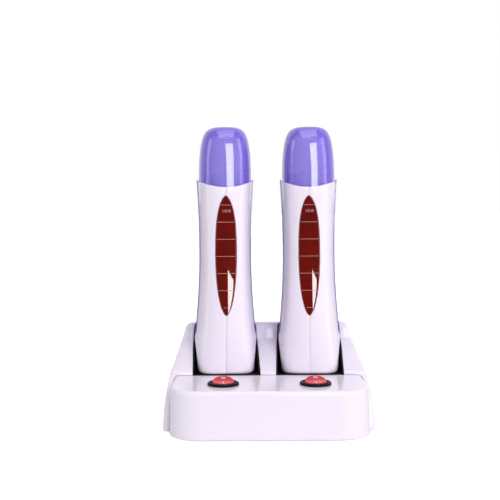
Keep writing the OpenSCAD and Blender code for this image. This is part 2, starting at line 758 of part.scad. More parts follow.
// Dark tray that lines one bay and carries the handset's foot.
module bay_liner(side) {
    color(black) difference() {
        intersection() {
            docked(side) translate([0, 0, -2.4]) linear_extrude(60)
                polygon(bay_plan(liner_wall));
            saddle_solid();
            translate([-200, -200, 0]) cube([400, 400, 400]);
        }
        docked(side) translate([0, 0, -0.1]) linear_extrude(80)
            polygon(bay_plan(0));
        box_solid(0.2);
        translate([side * handset_pitch / 2 - 21.2, handset_y + 20, notch_height + 1])
            cube([42.4, 40, 40]);
        docked(side) for (x = [-1, 1]) translate([x * contact_x, contact_y, -5])
            cylinder(d = 3.4, h = 10);
    }
}

// Two sprung contact pins that stand up into the handset's foot plug.
module dock_contacts(side) {
    color(brass) docked(side) for (x = [-1, 1]) translate([x * contact_x, contact_y, 0]) union() {
        translate([0, 0, -9]) cylinder(d = 3.2, h = 9.9);
        translate([0, 0, -6.6]) cylinder(d = 5, h = 4.1);
        translate([-0.4, -1.5, -14]) cube([0.8, 3, 6]);
    }
}

// Plate that closes the base from below.
module bottom_plate() {
    inset = base_wall + 0.3;
    color([0.3, 0.3, 0.32]) difference() {
        translate([0, 0, plate_z]) linear_extrude(plate_t) union() {
            polygon([for (p = box_ring(inset + 0.2, 0, inset)) [p[0], p[1]]]);
            translate([0, (step_y + 2.5 + rear_y - inset) / 2])
                rounded_rect(2 * (saddle_half_w(5) - inset), rear_y - inset - step_y - 2.5, 12.6);
            translate([-60, step_y - inset - 1]) square([120, 8]);
        }
        for (x = [-1, 1]) {
            screw_hole(x * front_post_x, front_post_y);
            screw_hole(x * rear_post_x, rear_post_y);
            screw_hole(x * mid_post_x, mid_post_y);
        }
        for (x = [-1, 1], y = [front_y + 20, rear_y - 20])
            translate([x * 50, y, plate_z - 1]) cylinder(d = foot_pad_d - 3, h = 1.8);
    }
}

module screw_hole(x, y) {
    translate([x, y, 0]) cylinder(d = screw_d + 0.4, h = 10);
    translate([x, y, 0]) cylinder(d = screw_head_d + 0.4, h = plate_z + 0.9);
}

module rubber_feet() {
    color([0.15, 0.15, 0.15]) for (x = [-1, 1], y = [front_y + 20, rear_y - 20])
        translate([x * 50, y, 0]) union() {
            cylinder(d = foot_pad_d, h = plate_z - 0.05);
            cylinder(d = foot_pad_d - 3.4, h = plate_z + 0.7);
        }
}

module base_screws() {
    color("silver") for (x = [-1, 1])
        for (p = [[front_post_x, front_post_y], [rear_post_x, rear_post_y], [mid_post_x, mid_post_y]])
            translate([x * p[0], p[1], 0]) union() {
                translate([0, 0, plate_z - 0.6]) cylinder(d = screw_head_d, h = 1.4);
                translate([0, 0, plate_z]) cylinder(d = pilot_d, h = 11);
            }
}

// Two-pole power inlet in the back of the rear housing.
module power_inlet() {
    y = rear_y - 1.2;
    color(black) translate([0, 0, inlet_height]) difference() {
        union() {
            rotate([-90, 0, 0]) translate([0, 0, y - 17]) linear_extrude(17)
                rounded_rect(inlet_w, inlet_h, 2);
            rotate([-90, 0, 0]) translate([0, 0, y + 1.3]) linear_extrude(1.4)
                rounded_rect(inlet_w + 4, inlet_h + 4, 3);
            rotate([-90, 0, 0]) translate([0, 0, y - 0.1]) linear_extrude(2)
                rounded_rect(inlet_w, inlet_h, 2);
        }
        rotate([-90, 0, 0]) translate([0, 0, y - 9]) linear_extrude(20)
            rounded_rect(inlet_socket_w, inlet_socket_h, inlet_socket_h / 2 - 0.05);
        for (x = [-1, 1]) translate([x * inlet_pin_pitch / 2, 0, 0])
            y_cylinder(1.2, y - 30, y);
    }
}

module inlet_pins() {
    y = rear_y - 1.2;
    color("silver") for (x = [-1, 1]) translate([x * inlet_pin_pitch / 2, 0, inlet_height])
        y_cylinder(1.19, y - 22, y - 0.5);
}

// Block where the inlet's wires are shared out to the switches and docks.
module terminal_block() {
    color([0.9, 0.9, 0.85]) translate([0, step_y + 22, plate_z + plate_t + 0.05]) difference() {
        translate([-20, -8, 0]) cube([40, 16, 12]);
        for (x = [-15:10:15]) {
            translate([x, 0, 5]) y_cylinder(1.6, -20, 20);
            translate([x, 0, 6]) cylinder(d = 3.4, h = 20);
        }
    }
}

module switch_frame(side) {
    translate([side * switch_pitch / 2, switch_y, 0]) children();
}

// Round bezel and body of a rocker switch.
module switch_body(side) {
    color(black) switch_frame(side) difference() {
        union() {
            translate([0, 0, deck_height + 0.05]) rotate_extrude() polygon(concat(
                [[0, 0], [bezel_d / 2, 0]],
                [for (a = [0:30:90]) [bezel_d / 2 - 1.2 + 1.2 * cos(a), bezel_t - 1.2 + 1.2 * sin(a)]],
                [[0, bezel_t]]));
            translate([0, 0, deck_height - 16]) cylinder(d = panel_hole_d - 0.3, h = 16.2);
            for (x = [-1, 1]) translate([x * 9.6, 0, deck_height - 7]) cube([1.8, 5, 8], center = true);
        }
        translate([0, 0, deck_height - 7]) cylinder(r = well_r, h = 20);
        translate([0, 0, rocker_pivot_z])
            x_cylinder(rocker_pin_d / 2 + rocker_play, -well_r - 0.7, well_r + 0.7);
        terminal_blades(0.02);
    }
}

// Outline of the rocker seen from the side, about its pivot.
function rocker_points() = concat(
    [[-rocker_r, 4.3], [0, 3.1], [rocker_r, 4.3], [rocker_r, 1]],
    [for (a = [-20:-20:-160]) [5.2 * cos(a), 4.6 * sin(a)]], [[-rocker_r, 1]]);

// Red rocker, pressed at the front.
module rocker(side) {
    color([0.8, 0.05, 0.08]) switch_frame(side) translate([0, 0, rocker_pivot_z])
        rotate([rocker_tilt, 0, 0]) union() {
            intersection() {
                across(rocker_r + 1, rocker_points());
                translate([0, 0, -10]) cylinder(r = rocker_r, h = 20);
            }
            x_cylinder(rocker_pin_d / 2, -rocker_r - 1.5, rocker_r + 1.5);
        }
}

// Four flat blades that stand down from the switch body, grown by a fit allowance.
module terminal_blades(grow) {
    for (x = [-1, 1], y = [-3.5, 3.5]) translate([x * 5, y, deck_height - 19])
        cube([0.8 + 2 * grow, 4.8 + 2 * grow, 10 + 2 * grow], center = true);
}

module switch_terminals(side) {
    color(brass) switch_frame(side) terminal_blades(0);
}

deck_housing();
saddle_housing();
bottom_plate();
rubber_feet();
base_screws();
power_inlet();
inlet_pins();
terminal_block();
bay_liner(-1);  // left_bay_liner
bay_liner(1);  // right_bay_liner
dock_contacts(-1);  // left_dock_contacts
dock_contacts(1);  // right_dock_contacts
switch_body(-1);  // left_switch_body
switch_body(1);  // right_switch_body
rocker(-1);  // left_rocker
rocker(1);  // right_rocker
switch_terminals(-1);  // left_switch_terminals
switch_terminals(1);  // right_switch_terminals
shell_half_of(-1, true);  // left_shell_outer
shell_half_of(1, true);  // right_shell_outer
shell_half_of(-1, false);  // left_shell_inner
shell_half_of(1, false);  // right_shell_inner
window(-1);  // left_window
window(1);  // right_window
door(-1);  // left_door
door(1);  // right_door
hinge_pin(-1);  // left_hinge_pin
hinge_pin(1);  // right_hinge_pin
cap(-1);  // left_cap
cap(1);  // right_cap
cartridge(-1);  // left_cartridge
cartridge(1);  // right_cartridge
wax(-1);  // left_wax
wax(1);  // right_wax
roller_frame(-1);  // left_roller_frame
roller_frame(1);  // right_roller_frame
roller(-1);  // left_roller
roller(1);  // right_roller
cradle(-1);  // left_cradle
cradle(1);  // right_cradle
heater(-1);  // left_heater
heater(1);  // right_heater
thermostat(-1);  // left_thermostat
thermostat(1);  // right_thermostat
foot_plug(-1);  // left_foot_plug
foot_plug(1);  // right_foot_plug
contact_pads(-1);  // left_contact_pads
contact_pads(1);  // right_contact_pads
handset_screws(-1);  // left_screws
handset_screws(1);  // right_screws
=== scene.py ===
"""Visual model of a double roll-on wax warmer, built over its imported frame.

Shapes are worked out in millimetres and become metres when a piece is finished. Each handset is
shaped upright about its own middle line and then placed on its dock, which leans it back and turns
it a little towards the middle.
"""
import json
import math

import bmesh
import bpy
from bpy.props import FloatProperty, FloatVectorProperty, PointerProperty
from mathutils import Matrix, Vector


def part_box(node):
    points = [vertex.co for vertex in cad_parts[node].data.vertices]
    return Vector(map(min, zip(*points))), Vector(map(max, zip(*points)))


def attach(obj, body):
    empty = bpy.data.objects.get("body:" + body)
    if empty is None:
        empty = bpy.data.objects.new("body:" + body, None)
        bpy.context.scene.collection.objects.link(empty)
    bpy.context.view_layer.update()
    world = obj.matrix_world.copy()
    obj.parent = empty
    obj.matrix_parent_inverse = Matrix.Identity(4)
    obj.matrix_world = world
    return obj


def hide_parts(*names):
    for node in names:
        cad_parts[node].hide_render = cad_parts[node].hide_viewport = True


bl_info = {
    "name": "Wax warmer",
    "version": (1, 0, 0),
    "blender": (4, 5, 0),
    "location": "View3D > Sidebar > Warmer",
    "description": "Builds the detailed pieces of a double roll-on wax warmer",
    "category": "Object",
}

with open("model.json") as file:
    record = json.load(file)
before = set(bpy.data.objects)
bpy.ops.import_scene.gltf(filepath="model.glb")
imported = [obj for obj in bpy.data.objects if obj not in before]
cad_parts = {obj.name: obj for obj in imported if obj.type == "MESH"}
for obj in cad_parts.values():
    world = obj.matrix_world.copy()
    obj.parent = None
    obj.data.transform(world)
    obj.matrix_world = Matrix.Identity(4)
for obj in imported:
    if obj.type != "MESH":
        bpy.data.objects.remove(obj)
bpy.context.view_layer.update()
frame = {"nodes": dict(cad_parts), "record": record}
SIDES = (("left", -1), ("right", 1))
DECK_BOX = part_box("deck_housing")
SADDLE_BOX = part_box("saddle_housing")
MM = 0.001

# Millimetres that several pieces share
FOOT_POWER = 4.6        # squareness of a handset's foot
SECTION_POWER = 2.6     # squareness of its body, and of the caps
FOOT_ROUND = 2.4        # radius of its bottom edge
DECK_ROUND = 3.2        # radius of the front box's top edge
CROWN_ROUND = 3.4       # radius of the back wall's top edge
HOUSING_WALL = 2.2      # wall of the front box and the rear housing
LIP = 3                 # height of the step from the deck to the slope
SLOPE_TOP = 56.5        # height where the slope meets the back wall
NOTCH_FLOOR = 54.2      # height of the notch behind each bay, where the door swings
PANEL_HOLE_R = 10.1     # radius of the deck's holes for the switches
SEAM = 0.05             # half the gap between a handset's two half shells
BEZEL_R = 11.5          # outer radius of a switch's bezel
ROCKER_R = 8.0          # radius of a rocker
LEVEL_LINES = 7         # lines on a level window
LOWEST_LINE = 50.9      # height of its lowest line
LINE_GAP = 13.1         # distance between two lines
FIGURE_HEIGHT = 124.9   # height of its figures

# Stage: each lamp's turn from the front, its height angle, its distance, its size and its level
SOFTBOXES = (
    ("front_softbox", 17, 24, 1.7, (0.72, 1.0), 6.6),
    ("left_softbox", -88, 12, 1.4, (0.4, 1.3), 1.8),
    ("right_softbox", 80, 18, 1.4, (0.5, 1.2), 2.2),
    ("top_softbox", 10, 80, 1.6, (1.3, 1.3), 1.8),
)
LAMP_AIM = (0, 0, 0.12)
WORLD_LEVEL = 0.38
CAMERA_PLACE = (-0.0165, -0.762, 0.1777)
CAMERA_TURN = (0.224, 3.552, -0.25)     # degrees to the right, down, and about the line of sight


def length(name, description, default):
    return FloatProperty(name=name, description=description, default=default,
                         subtype="DISTANCE", unit="LENGTH", precision=4)


def tint(name, description, default):
    return FloatVectorProperty(name=name, description=description, default=default,
                               subtype="COLOR", size=3, min=0.0, max=1.0)


class WarmerSizes(bpy.types.PropertyGroup):
    """Sizes of the warmer's mouldings"""
    pitch: length("Handset pitch", "Distance between the two handsets' middle lines", 0.0664)
    rim: length("Rim height", "Height of the handset's rim above its foot", 0.1496)
    dip: length("Rim dip", "How far the rim dips at the front", 0.0064)
    shoulder: length("Shoulder height", "Height at which the rear door ends", 0.028)
    foot_w: length("Foot half width", "Half width of the handset at its foot", 0.0219)
    shoulder_w: length("Shoulder half width", "Half width at the shoulder", 0.0245)
    waist_w: length("Waist half width", "Half width at the waist", 0.0206)
    rim_w: length("Rim half width", "Half width at the rim", 0.0225)
    shoulder_d: length("Shoulder half depth", "Half depth at the shoulder", 0.0326)
    waist_d: length("Waist half depth", "Half depth at the waist", 0.031)
    wall: length("Shell wall", "Wall thickness of the white shell", 0.0015)
    door_wall: length("Door wall", "Wall thickness of the rear door", 0.0012)
    cap_wall: length("Cap wall", "Wall thickness of the cap", 0.0016)
    door_proud: length("Door stand-out", "How far the door stands out beside the shell", 0.0008)
    window_low: length("Window's lower tip", "Height of the lower tip above the foot", 0.045)
    window_high: length("Window's upper tip", "Height of the upper tip above the foot", 0.1425)
    window_w: length("Window half width", "Half width of the window", 0.0085)
    cap_rise: length("Cap rise", "Height of the cap above the rim", 0.0427)
    deck: length("Deck height", "Height of the switch deck", DECK_BOX[1].z)
    front_y: length("Front face", "Place of the front face", DECK_BOX[0].y)
    rear_y: length("Rear face", "Place of the rear face", SADDLE_BOX[1].y)
    box_w: length("Front box half width", "Half width of the front box", DECK_BOX[1].x)
    wing_w: length("Wing half width", "Half width of the wings at the floor", 0.078)
    top_w: length("Back half width", "Half width of the back wall's top", 0.062)
    back: length("Back wall height", "Height of the back wall", SADDLE_BOX[1].z)
    switch_pitch: length("Switch pitch", "Distance between the switches", 0.0672)
    lean: FloatProperty(name="Lean", description="Lean of the docked handsets",
                        default=math.radians(5), subtype="ANGLE", unit="ROTATION")
    toe: FloatProperty(name="Toe-in", description="Turn of each handset towards the middle",
                       default=math.radians(2.5), subtype="ANGLE", unit="ROTATION")
    tilt: FloatProperty(name="Rocker tilt", description="Angle of the pressed rocker",
                        default=math.radians(11), subtype="ANGLE", unit="ROTATION")


class WarmerColours(bpy.types.PropertyGroup):
    """Colours of the warmer's finishes"""
    shell: tint("Shell white", "Glossy white with a lavender cast", (0.82, 0.755, 0.875))
    violet: tint("Clear violet", "Middle of the caps and doors", (0.27, 0.17, 0.98))
    violet_edge: tint("Deep violet", "Caps and doors seen edge-on", (0.14, 0.06, 0.60))
    window: tint("Window red", "Dark red of the level windows", (0.15, 0.004, 0.002))
    rocker: tint("Rocker red", "Red of the rockers", (0.52, 0.008, 0.016))
    # In the bays this black is partly painted shade: the liners also stand for the deep shade
    # beside each foot.
    black: tint("Black", "Bezels, bays and plugs", (0.012, 0.009, 0.013))


# Shader nodes


class Sock:
    """A shader socket that takes part in sums; the result is a new Math node's output."""

    def __init__(self, tree, out):
        self.tree, self.out = tree, out

    def _math(self, kind, a, b=None):
        node = self.tree.nodes.new("ShaderNodeMath")
        node.operation = kind
        for i, value in enumerate((a, b)):
            if isinstance(value, Sock):
                self.tree.links.new(value.out, node.inputs[i])
            elif value is not None:
                node.inputs[i].default_value = value
        return Sock(self.tree, node.outputs[0])

    def __add__(self, other):
        return self._math("ADD", self, other)

    def __rsub__(self, other):
        return self._math("SUBTRACT", other, self)

    def __mul__(self, other):
        return self._math("MULTIPLY", self, other)

    def __pow__(self, other):
        return self._math("POWER", self, other)

    __rmul__ = __mul__


class Finish:
    """One procedural material around a Principled shader."""

    def __init__(self, name, **constants):
        self.material = bpy.data.materials.new(name)
        self.material.use_nodes = True
        self.tree = self.material.node_tree
        self.tree.nodes.clear()
        self.shader = self.tree.nodes.new("ShaderNodeBsdfPrincipled")
        output = self.tree.nodes.new("ShaderNodeOutputMaterial")
        self.tree.links.new(self.shader.outputs["BSDF"], output.inputs["Surface"])
        for key, value in constants.items():
            self.feed(**{key: value})

    def feed(self, **inputs):
        for key, value in inputs.items():
            self._put(self.shader.inputs[key.replace("_", " ")], value)
        return self

    def _put(self, socket, value):
        if isinstance(value, Sock):
            self.tree.links.new(value.out, socket)
        elif isinstance(value, tuple) and len(value) < len(socket.default_value):
            socket.default_value = (*value, 1)
        else:
            socket.default_value = value

    def add(self, kind, settings=None, output=0, **inputs):
        """New node; an input goes by its name, or by its number as i0, i1 and so on."""
        node = self.tree.nodes.new("ShaderNode" + kind)
        for key, value in (settings or {}).items():
            setattr(node, key, value)
        for key, value in inputs.items():
            numbered = key[0] == "i" and key[1:].isdigit()
            self._put(node.inputs[int(key[1:]) if numbered else key.replace("_", " ")], value)
        return Sock(self.tree, node.outputs[output])

    def place(self):
        """Object coordinates."""
        return self.add("TexCoord", output=3)

    def noise(self, scale, detail=2.0, place=None):
        return self.add("TexNoise", Vector=place or self.place(), Scale=scale, Detail=detail)

    def blend(self, factor, a, b):
        """Mix of two colours."""
        return self.add("Mix", {"data_type": "RGBA"}, output=2, i0=factor, i6=a, i7=b)

    def bump(self, height, strength, distance=0.0002):
        return self.add("Bump", Strength=strength, Distance=distance, Height=height)

    def along(self, axis):
        return self.add("SeparateXYZ", output="XYZ".index(axis), Vector=self.place())


def moulded(name, colour, rough, gloss=0.0, grain=900.0, depth=0.06, vary=0.05, **more):
    """Moulded plastic: faint clouding of its colour, uneven gloss and a fine skin texture."""
    f = Finish(name, Coat_Weight=gloss, **more)
    cloud = f.noise(28, 3)
    light = tuple(min(1, c * (1 + vary)) for c in colour)
    dark = tuple(c * (1 - vary) for c in colour)
    f.feed(Base_Color=f.blend(cloud, dark, light),
           Roughness=f.noise(60, 4) * (rough * 0.5) + rough * 0.75,
           Normal=f.bump(f.noise(grain, 2), depth))
    return f.material


def brushed(name, colour, rough, stretch=(1, 1, 30)):
    """Metal with fine drawn lines along one direction."""
    f = Finish(name, Metallic=1.0)
    turned = f.add("Mapping", Vector=f.place(), Scale=stretch)
    lines = f.noise(700, 2, turned)
    f.feed(Base_Color=f.blend(lines, tuple(c * 0.82 for c in colour), colour),
           Roughness=lines * 0.2 + rough, Normal=f.bump(lines, 0.12))
    return f.material


def clear_violet(name, middle, edge):
    """Tinted clear plastic: deeper and denser where it is seen edge-on."""
    f = Finish(name, Roughness=0.2, Specular_IOR_Level=0.0, Coat_Weight=1.0, Coat_Roughness=0.02,
               Coat_IOR=2.3)
    facing = f.add("LayerWeight", output=1, Blend=0.42)
    rim = facing ** 1.3
    cloud = f.noise(35, 2) * 0.06
    f.feed(Base_Color=f.blend(rim, middle, edge), Alpha=rim * 0.6 + cloud + 0.32,
           Normal=f.bump(f.noise(120, 2), 0.015))
    return f.material


def window_red(name, colour):
    """Dark red see-through plastic with wax behind it, which makes it uneven."""
    f = Finish(name, Specular_IOR_Level=0.0, Coat_Weight=1.0, Coat_Roughness=0.015, Coat_IOR=2.1)
    cloud = f.noise(90, 4)
    deep = tuple(c * 0.55 for c in colour)
    warm = (colour[0] * 1.25, colour[1] * 1.6, colour[2] * 1.2)
    f.feed(Base_Color=f.blend(cloud, deep, warm), Roughness=f.noise(40, 2) * 0.08 + 0.06,
           Normal=f.bump(f.noise(220, 2), 0.012))
    return f.material


def rocker_red(name, colour):
    """Translucent red whose emission is painted light: brightest at the skirt, dim at the top."""
    f = Finish(name, Specular_IOR_Level=0.1, Coat_Weight=0.35, Coat_Roughness=0.08,
               Emission_Strength=0.3)
    skirt, top = 0.0345, 0.0405
    # Mask for the painted glow: 1 at the skirt, 0 at the top.
    low = f.add("MapRange", Value=f.along("Z"), i1=skirt, i2=top, i3=1.0, i4=0.0)
    cloud = f.noise(400, 2)
    f.feed(Base_Color=f.blend(cloud, tuple(c * 0.75 for c in colour), colour),
           Emission_Color=f.blend(low, (0.12, 0.0, 0.0), (1.0, 0.1, 0.12)),
           Roughness=cloud * 0.1 + 0.12)
    return f.material


FINISH = {}


def finishes():
    """Every finish by its slot's name, made once."""
    if FINISH:
        return FINISH
    c = bpy.context.scene.warmer_colours
    shell, black = tuple(c.shell), tuple(c.black)
    FINISH.update(
        white_plastic=moulded("white_plastic", shell, 0.09, grain=420, depth=0.012, vary=0.012,
                              IOR=1.42),
        purple_clear=clear_violet("purple_clear", tuple(c.violet), tuple(c.violet_edge)),
        window_red=window_red("window_red", tuple(c.window)),
        black_plastic=moulded("black_plastic", black, 0.42, grain=1500, depth=0.1, vary=0.2,
                              Specular_IOR_Level=0.1),
        rocker_red=rocker_red("rocker_red", tuple(c.rocker)),
        cartridge_plastic=moulded("cartridge_plastic", (0.76, 0.76, 0.8), 0.42, vary=0.04),
        roller_plastic=moulded("roller_plastic", (0.84, 0.83, 0.8), 0.22, gloss=0.3, vary=0.02),
        wax=moulded("wax", (0.5, 0.22, 0.045), 0.3, gloss=0.3, grain=140, depth=0.2, vary=0.25),
        cradle_aluminium=brushed("cradle_aluminium", (0.76, 0.77, 0.78), 0.25),
        heater_ceramic=moulded("heater_ceramic", (0.68, 0.6, 0.47), 0.7, grain=2600, depth=0.2,
                               vary=0.1),
        thermostat_body=moulded("thermostat_body", (0.035, 0.03, 0.028), 0.5, vary=0.2),
        contact_brass=brushed("contact_brass", (0.8, 0.58, 0.25), 0.2, (1, 1, 4)),
        steel=brushed("steel", (0.6, 0.6, 0.62), 0.28, (6, 6, 1)),
        rubber=moulded("rubber", (0.02, 0.02, 0.021), 0.75, grain=1800, depth=0.3, vary=0.2),
        plate_plastic=moulded("plate_plastic", (0.05, 0.05, 0.056), 0.5, grain=1700, depth=0.35,
                              vary=0.12),
        block_plastic=moulded("block_plastic", (0.76, 0.74, 0.66), 0.45, vary=0.05),
        level_mark=moulded("level_mark", (0.5, 0.27, 0.26), 0.5, vary=0.1,
                           Specular_IOR_Level=0.1),
        white_mark=moulded("white_mark", (0.95, 0.78, 0.78), 0.5, vary=0.04),
    )
    return FINISH


# Shape of a handset, in millimetres about its own middle line


def ease(a, b, v):
    """Smooth rise from 0 at a to 1 at b."""
    t = max(0.0, min(1.0, (v - a) / (b - a)))
    return t * t * (3 - 2 * t)


def quarter(steps):
    """Angles of a quarter turn."""
    return [math.pi / 2 * i / steps for i in range(steps + 1)]


def super_point(a, b, u, n=SECTION_POWER):
    """Point of a superellipse at angle u in degrees: 0 is +X and 90 is the rear."""
    c, s = math.cos(math.radians(u)), math.sin(math.radians(u))
    return (a * math.copysign(abs(c) ** (2 / n), c), b * math.copysign(abs(s) ** (2 / n), s))


class Handset:
    """The handset's sizes in millimetres, and the formulas that its pieces share."""

    def __init__(self):
        for key in WarmerSizes.__annotations__:
            value = getattr(bpy.context.scene.warmer_sizes, key)
            setattr(self, key, value if key in ("lean", "toe", "tilt") else value / MM)
        self.waist = (self.shoulder + self.rim) / 2 + 4.8
        self.parting = -6.0                         # y of the line between shell and door
        self.door_line = self.shoulder + 0.6        # height where the open back starts
        self.foot_in = 1.6                          # how much shallower the foot is
        self.step = self.deck + LIP                 # height where the slope starts
        self.step_y = self.front_y + 63.5           # where the deck ends
        self.switch_y = self.front_y + 27.5
        self.dock_y = self.step_y + self.shoulder_d - 1.2
        self.dock_z = self.deck + 0.6 - (self.shoulder_d - self.foot_in) * math.sin(self.lean)
        self.window_mid = (self.window_low + self.window_high) / 2
        self.window_half = (self.window_high - self.window_low) / 2

    def half_w(self, z):
        if z < self.shoulder:
            return self.foot_w + (self.shoulder_w - self.foot_w) * z / self.shoulder
        low = z < self.waist
        t = (z - self.waist) / (self.waist - self.shoulder if low else self.rim - self.waist)
        return self.waist_w + ((self.shoulder_w if low else self.rim_w) - self.waist_w) * t * t

    def half_d(self, z):
        if z < self.shoulder:
            return self.shoulder_d - self.foot_in * (1 - z / self.shoulder)
        t = (z - self.waist) / (self.waist - self.shoulder)
        return self.waist_d + (self.shoulder_d - self.waist_d) * min(1, t * t)

    def power(self, z):
        """Squareness of the section: the foot is squarer than the body."""
        return FOOT_POWER - (FOOT_POWER - SECTION_POWER) * ease(0, self.shoulder, z)

    def axes(self, z, proud=0.0):
        """Half axes of the skin's section; proud moves the white shell in from the door."""
        r = FOOT_ROUND
        inset = 0 if z >= r else r - math.sqrt(max(0, r ** 2 - (r - z) ** 2))
        side = proud * ease(self.shoulder - 2, self.shoulder + 4, z)
        return self.half_w(z) - side - inset, self.half_d(z) - inset

    def fall(self, z, x, y):
        """How far a point drops with the rim's dip: most at the front, not at all at the sides."""
        share = max(0, 1 - (x / self.half_w(z)) ** 2) * ease(2, -12, y)
        return self.dip * ease(0.72 * self.rim, self.rim, z) * share

    def unfallen(self, height):
        """Height whose point on the front ends up at the given height."""
        z = height
        for _ in range(12):
            z = height + self.fall(z, 0, -self.half_d(z))
        return z

    def skin(self, z, u, proud=0.0):
        x, y = super_point(*self.axes(z, proud), u, self.power(z))
        return Vector((x, y, z - self.fall(z, x, y)))

    def front(self, x, z, proud=0.0):
        """Front skin of the body at a given x."""
        a, b = self.axes(z, proud)
        y = -b * (1 - min(1, abs(x) / a) ** SECTION_POWER) ** (1 / SECTION_POWER)
        return Vector((x, y, z - self.fall(z, x, y)))

    def window_x(self, z):
        """Half width of the almond window at a height."""
        t = (z - self.window_mid) / self.window_half
        return 0 if abs(t) >= 1 else self.window_w * (1 - abs(t) ** 2.2) ** 0.55

    def pane(self, x, z, lift=0.0):
        """Point on the window's face: it stands out at its tips and rolls over at its border."""
        reach = min(1, abs(x) / max(0.4, self.window_x(z)))
        t = abs(z - self.window_mid) / self.window_half
        p = self.front(x, z, self.door_proud)
        p.y -= (0.05 + 0.85 * t * t) - 0.55 * max(0, (reach - 0.82) / 0.18) ** 2.2 + lift
        return p

    def levels_below(self, height):
        """Heights of the mesh's rows from the foot to the door's line, or on to a given height."""
        levels = [0, 0.25, 0.7, 1.3, FOOT_ROUND]
        levels += [FOOT_ROUND + (self.shoulder - FOOT_ROUND) * i / 8 for i in range(1, 9)]
        levels.append(self.door_line)
        if height > self.door_line:
            levels += [self.door_line + (height - self.door_line) * i / 5 for i in range(1, 6)]
        return levels

    def angle_at_x(self, x, z, proud):
        a, _ = self.axes(z, proud)
        return -math.degrees(math.acos(min(1, (x / a)) ** (self.power(z) / 2)))

    def angle_at_y(self, y, z):
        _, b = self.axes(z)
        return math.degrees(math.asin(math.copysign((abs(y) / b) ** (self.power(z) / 2), y)))

    def leaned(self, side):
        """Frame of a dock, which leans back."""
        return (Matrix.Translation((side * self.pitch / 2, self.dock_y, self.dock_z))
                @ Matrix.Rotation(-self.lean, 4, "X"))

    def docked(self, side):
        """Frame of a docked handset, which stands turned a little."""
        return self.leaned(side) @ Matrix.Rotation(-side * self.toe, 4, "Z")


# Mesh helpers

ACROSS = Matrix.Rotation(math.pi / 2, 3, "Y")       # lays an upright pin along X


def sheet(bm, columns, rows, place, material=0):
    """Grid whose corners run from 0 to 1 both ways, set in space by place(u, v)."""
    made = bmesh.ops.create_grid(bm, x_segments=columns, y_segments=rows, size=1)["verts"]
    for v in made:
        v.co = place((v.co.x + 1) / 2, (v.co.y + 1) / 2)
    for f in {f for v in made for f in v.link_faces}:
        f.material_index = material
    return made


def ladder(levels):
    """Turns a share from 0 to 1 into one of the levels, evenly by their order."""
    last = len(levels) - 1

    def at(v):
        i = min(last - 1, int(v * last + 1e-6))
        return levels[i] + (levels[i + 1] - levels[i]) * (v * last - i)
    return at


def turned(bm, profile, steps=64, centre=(0, 0, 0), material=0):
    """Faces of a solid or ring turned about a vertical axis from a profile of (radius, height)."""
    points = [bm.verts.new((r, 0, z)) for r, z in profile]
    edges = [bm.edges.new(pair) for pair in zip(points, points[1:])]
    old = set(bm.faces)
    bmesh.ops.spin(bm, geom=points + edges, cent=(0, 0, 0), axis=(0, 0, 1), angle=math.tau,
                   steps=steps, use_merge=True)
    faces = [f for f in bm.faces if f not in old]
    corners = {v for f in faces for v in f.verts}
    bmesh.ops.translate(bm, verts=list(corners), vec=centre)
    for f in faces:
        f.material_index = material
    return faces


def block(bm, size, centre, material=0):
    """Box with square edges."""
    made = bmesh.ops.create_cube(bm, size=1)["verts"]
    bmesh.ops.scale(bm, verts=made, vec=size)
    bmesh.ops.translate(bm, verts=made, vec=centre)
    for f in {f for v in made for f in v.link_faces}:
        f.material_index = material


def tidy(bm, distance=0.002):
    """Joins what touches, drops empty faces and turns all faces outward."""
    bmesh.ops.remove_doubles(bm, verts=bm.verts, dist=distance)
    bmesh.ops.dissolve_degenerate(bm, edges=bm.edges, dist=distance / 2)
    bmesh.ops.recalc_face_normals(bm, faces=bm.faces)


def piece(name, bm, finish, body, nodes, thickness=0.0, bevel=0.0, at=None, sharp=38, extra=(),
          bevel_angle=35, cuts=()):
    """Makes a finished object from a mesh in millimetres, and ties it to its body and its nodes."""
    if at is not None:
        bm.transform(at)
    bm.transform(Matrix.Scale(MM, 4))
    mesh = bpy.data.meshes.new(name)
    bm.to_mesh(mesh)
    bm.free()
    obj = bpy.data.objects.new(name, mesh)
    bpy.context.scene.collection.objects.link(obj)
    for cutter in cuts:
        cut = obj.modifiers.new("Cut", "BOOLEAN")
        cut.operation, cut.solver, cut.object = "DIFFERENCE", "EXACT", cutter
    if thickness:
        wall = obj.modifiers.new("Wall", "SOLIDIFY")
        wall.thickness, wall.offset, wall.use_even_offset = thickness * MM, -1, True
    if bevel:
        edge = obj.modifiers.new("Edge", "BEVEL")
        edge.width, edge.segments, edge.limit_method = bevel * MM, 2, "ANGLE"
        edge.angle_limit = math.radians(bevel_angle)
        edge.use_clamp_overlap = False
    if obj.modifiers:
        bpy.context.view_layer.update()
        depsgraph = bpy.context.evaluated_depsgraph_get()
        baked = bpy.data.meshes.new_from_object(obj.evaluated_get(depsgraph))
        obj.modifiers.clear()
        obj.data = baked
    for cutter in cuts:
        bpy.data.objects.remove(cutter)
    for slot in (finish, *extra):
        obj.data.materials.append(finishes()[slot])
    obj.data.shade_smooth()
    obj.data.set_sharp_from_angle(angle=math.radians(sharp))
    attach(obj, body)
    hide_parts(*nodes)


def cutter(bm):
    """Loose object in metres that a later piece is cut with."""
    bmesh.ops.recalc_face_normals(bm, faces=bm.faces)
    bm.transform(Matrix.Scale(MM, 4))
    mesh = bpy.data.meshes.new("cutter")
    bm.to_mesh(mesh)
    bm.free()
    obj = bpy.data.objects.new("cutter", mesh)
    bpy.context.scene.collection.objects.link(obj)
    return obj


